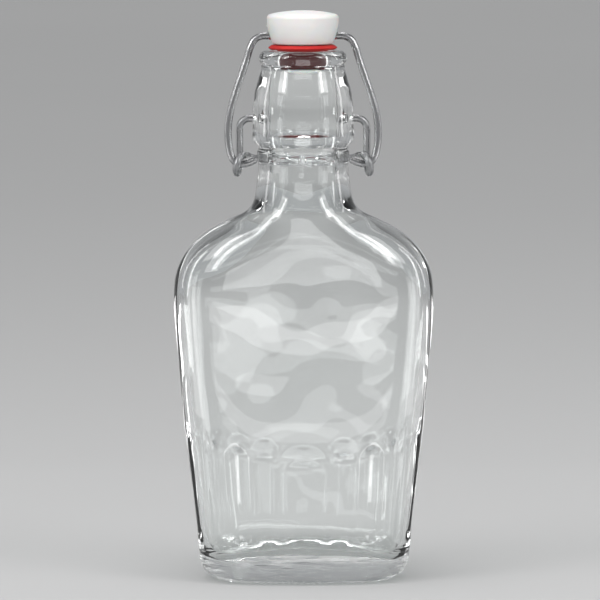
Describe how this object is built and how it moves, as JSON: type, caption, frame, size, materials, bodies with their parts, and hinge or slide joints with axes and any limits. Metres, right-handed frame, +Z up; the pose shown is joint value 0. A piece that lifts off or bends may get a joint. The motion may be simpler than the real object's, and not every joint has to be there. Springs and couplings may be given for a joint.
{
  "type": "swing-top flask bottle",
  "caption": "Clear glass flask-shaped bottle with a swing-top closure: white stopper, red rubber gasket, wire bail and wire lever.",
  "frame": {"origin": "centre of the base on the surface that the bottle stands on, under the neck's axis", "axes": "+X is the width of the flask, +Y is its depth towards the back, where the lever's handle lies, +Z is up"},
  "size_m": [0.0898, 0.04, 0.198],
  "materials": {
    "clear_glass": "clear pressed and blown soda-lime glass, fire-polished, slightly wavy, thick at the base",
    "white_plastic": "moulded white plastic, satin gloss",
    "red_rubber": "smooth moulded red rubber, soft sheen",
    "steel_wire": "drawn galvanised steel wire with fine die lines along its length"
  },
  "bodies": {
    "bottle": {"bottle": "clear_glass"},
    "lever": {"lever_wire": "steel_wire"},
    "bail": {"bail_wire": "steel_wire"},
    "stopper": {"stopper": "white_plastic", "gasket": "red_rubber"}
  },
  "joints": [
    {"name": "lever_hinge", "type": "hinge", "parent": "bottle", "child": "lever", "pos_m": [0, 0, 0.1607], "axis": [1, 0, 0], "range_deg": [0, 86]},
    {"name": "bail_hinge", "type": "hinge", "parent": "lever", "child": "bail", "pos_m": [0, -0.003, 0.145], "axis": [1, 0, 0], "range_deg": [-56.5, 0]},
    {"name": "stopper_hinge", "type": "hinge", "parent": "bail", "child": "stopper", "pos_m": [0, 0, 0.1891], "axis": [1, 0, 0], "range_deg": [-30, 0]}
  ],
  "couplings": [
    {"joint": "bail_hinge", "follows": "lever_hinge", "ratio": -0.655},
    {"joint": "stopper_hinge", "follows": "lever_hinge", "ratio": -0.345}
  ]
}
